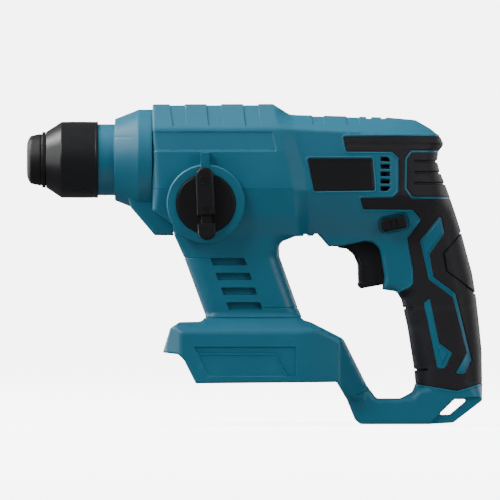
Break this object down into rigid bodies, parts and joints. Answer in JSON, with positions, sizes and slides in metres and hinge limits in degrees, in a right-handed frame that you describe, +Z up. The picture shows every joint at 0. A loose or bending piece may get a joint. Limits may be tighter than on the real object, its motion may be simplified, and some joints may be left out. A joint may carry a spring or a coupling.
{
  "type": "rotary hammer",
  "caption": "Cordless rotary hammer with a quick-change chuck, mode knob, D handle with trigger and a battery shoe under its front leg.",
  "frame": {"origin": "on the spindle's axis at the front face of the tool holder", "axes": "+X runs back along the spindle to the grip, +Z is up, -Y is the operator's left side"},
  "size_m": [0.2824, 0.088, 0.1984],
  "materials": {
    "rubber": "fine-grained matt rubber",
    "black_plastic": "satin moulded plastic",
    "teal_plastic": "fine spark-eroded moulded plastic",
    "steel": "machined",
    "bright_steel": "ground",
    "aluminium": "die cast",
    "brass": "drawn",
    "wire": "extruded insulation"
  },
  "bodies": {
    "housing": {"left_grip_rubber": "rubber", "right_grip_rubber": "rubber", "oil_seal": "rubber", "bearing_damper": "rubber", "knob_seal": "rubber", "rear_pad": "black_plastic", "side_plates": "black_plastic", "brush_plate": "black_plastic", "power_switch": "black_plastic", "terminal_block": "black_plastic", "controller": "black_plastic", "carbon_brushes": "black_plastic", "nose_housing": "teal_plastic", "left_housing": "teal_plastic", "right_housing": "teal_plastic", "trigger_spring": "steel", "motor_yoke": "steel", "motor_magnets": "steel", "housing_screws": "steel", "front_bearing": "bright_steel", "countershaft_bearings": "bright_steel", "motor_bearings": "bright_steel", "bearing_bracket": "aluminium", "motor_plate": "aluminium", "rear_bush": "brass", "brush_holders": "brass", "terminal_blades": "brass", "wires": "wire"},
    "spindle": {"spindle": "bright_steel", "spindle_gear": "steel", "clutch_spring": "steel", "retaining_ring": "steel", "dust_cap": "rubber", "sleeve_spring": "steel"},
    "sleeve": {"locking_sleeve": "black_plastic", "ball_ring": "steel"},
    "upper_ball": {"upper_locking_ball": "bright_steel"},
    "lower_ball": {"lower_locking_ball": "bright_steel"},
    "countershaft": {"countershaft": "steel", "countershaft_gear": "steel", "wobble_hub": "steel"},
    "shift_sleeve": {"shift_sleeve": "steel"},
    "armature": {"armature_shaft": "bright_steel", "armature_core": "steel", "armature_windings": "brass", "commutator": "brass", "cooling_fan": "black_plastic"},
    "wobble": {"wobble_ring": "steel"},
    "piston": {"piston": "aluminium", "piston_seal_ring": "rubber"},
    "piston_pin": {"piston_pin": "bright_steel"},
    "striker": {"striker": "bright_steel", "striker_seal_ring": "rubber"},
    "bolt": {"impact_bolt": "bright_steel"},
    "knob": {"mode_knob": "black_plastic"},
    "lock_button": {"knob_lock_button": "black_plastic"},
    "trigger": {"trigger": "black_plastic", "trigger_plunger": "bright_steel"},
    "direction": {"direction_button": "black_plastic"}
  },
  "joints": [
    {"name": "spindle_spin", "type": "hinge", "parent": "housing", "child": "spindle", "pos_m": [0, 0, 0], "axis": [1, 0, 0], "continuous": true},
    {"name": "sleeve_slide", "type": "slide", "parent": "spindle", "child": "sleeve", "axis": [1, 0, 0], "range_m": [0, 0.007], "stiffness_N_per_m": 1200, "springref_m": -0.004, "deforming": ["sleeve_spring"]},
    {"name": "upper_ball_slide", "type": "slide", "parent": "spindle", "child": "upper_ball", "axis": [0, 0, 1], "range_m": [0, 0.00165]},
    {"name": "lower_ball_slide", "type": "slide", "parent": "spindle", "child": "lower_ball", "axis": [0, 0, -1], "range_m": [0, 0.00165]},
    {"name": "countershaft_spin", "type": "hinge", "parent": "housing", "child": "countershaft", "pos_m": [0, 0, -0.027], "axis": [1, 0, 0], "continuous": true},
    {"name": "armature_spin", "type": "hinge", "parent": "housing", "child": "armature", "pos_m": [0, 0, -0.009], "axis": [1, 0, 0], "continuous": true},
    {"name": "wobble_swing", "type": "hinge", "parent": "housing", "child": "wobble", "pos_m": [0.122, 0, -0.027], "axis": [0, 1, 0], "range_deg": [-14, 14]},
    {"name": "piston_slide", "type": "slide", "parent": "housing", "child": "piston", "axis": [1, 0, 0], "range_m": [-0.0067, 0.0067]},
    {"name": "piston_pin_turn", "type": "hinge", "parent": "piston", "child": "piston_pin", "pos_m": [0.122, 0, 0], "axis": [0, 1, 0], "range_deg": [-14.1, 14.1]},
    {"name": "striker_slide", "type": "slide", "parent": "housing", "child": "striker", "axis": [1, 0, 0], "range_m": [-0.0055, 0.0055]},
    {"name": "bolt_slide", "type": "slide", "parent": "housing", "child": "bolt", "axis": [1, 0, 0], "range_m": [-0.002, 0.002]},
    {"name": "mode_knob_turn", "type": "hinge", "parent": "housing", "child": "knob", "pos_m": [0.1071, 0, -0.0274], "axis": [0, 1, 0], "range_deg": [-90, 90]},
    {"name": "lock_button_press", "type": "slide", "parent": "knob", "child": "lock_button", "axis": [-0.0436, 0, 0.999], "range_m": [0, 0.0035], "stiffness_N_per_m": 600, "springref_m": -0.002},
    {"name": "shift_sleeve_slide", "type": "slide", "parent": "countershaft", "child": "shift_sleeve", "axis": [1, 0, 0], "range_m": [-0.00205, 0.00205]},
    {"name": "trigger_pull", "type": "slide", "parent": "housing", "child": "trigger", "axis": [0.9848, 0, 0.1736], "range_m": [0, 0.007], "stiffness_N_per_m": 900, "springref_m": -0.004, "deforming": ["trigger_spring"]},
    {"name": "direction_shift", "type": "slide", "parent": "housing", "child": "direction", "axis": [0, 1, 0], "range_m": [-0.004, 0.004]}
  ],
  "couplings": [
    {"joint": "upper_ball_slide", "follows": "sleeve_slide", "ratio": 0.22857},
    {"joint": "lower_ball_slide", "follows": "sleeve_slide", "ratio": 0.22857},
    {"joint": "countershaft_spin", "follows": "spindle_spin", "ratio": -3.1538},
    {"joint": "armature_spin", "follows": "spindle_spin", "ratio": 12.615},
    {"joint": "piston_slide", "follows": "wobble_swing", "m_per_rad": 0.027},
    {"joint": "piston_pin_turn", "follows": "wobble_swing", "ratio": 1},
    {"joint": "striker_slide", "follows": "wobble_swing", "m_per_rad": 0.022},
    {"joint": "bolt_slide", "follows": "wobble_swing", "m_per_rad": 0.008},
    {"joint": "shift_sleeve_slide", "follows": "mode_knob_turn", "m_per_rad": 0.0012732}
  ]
}
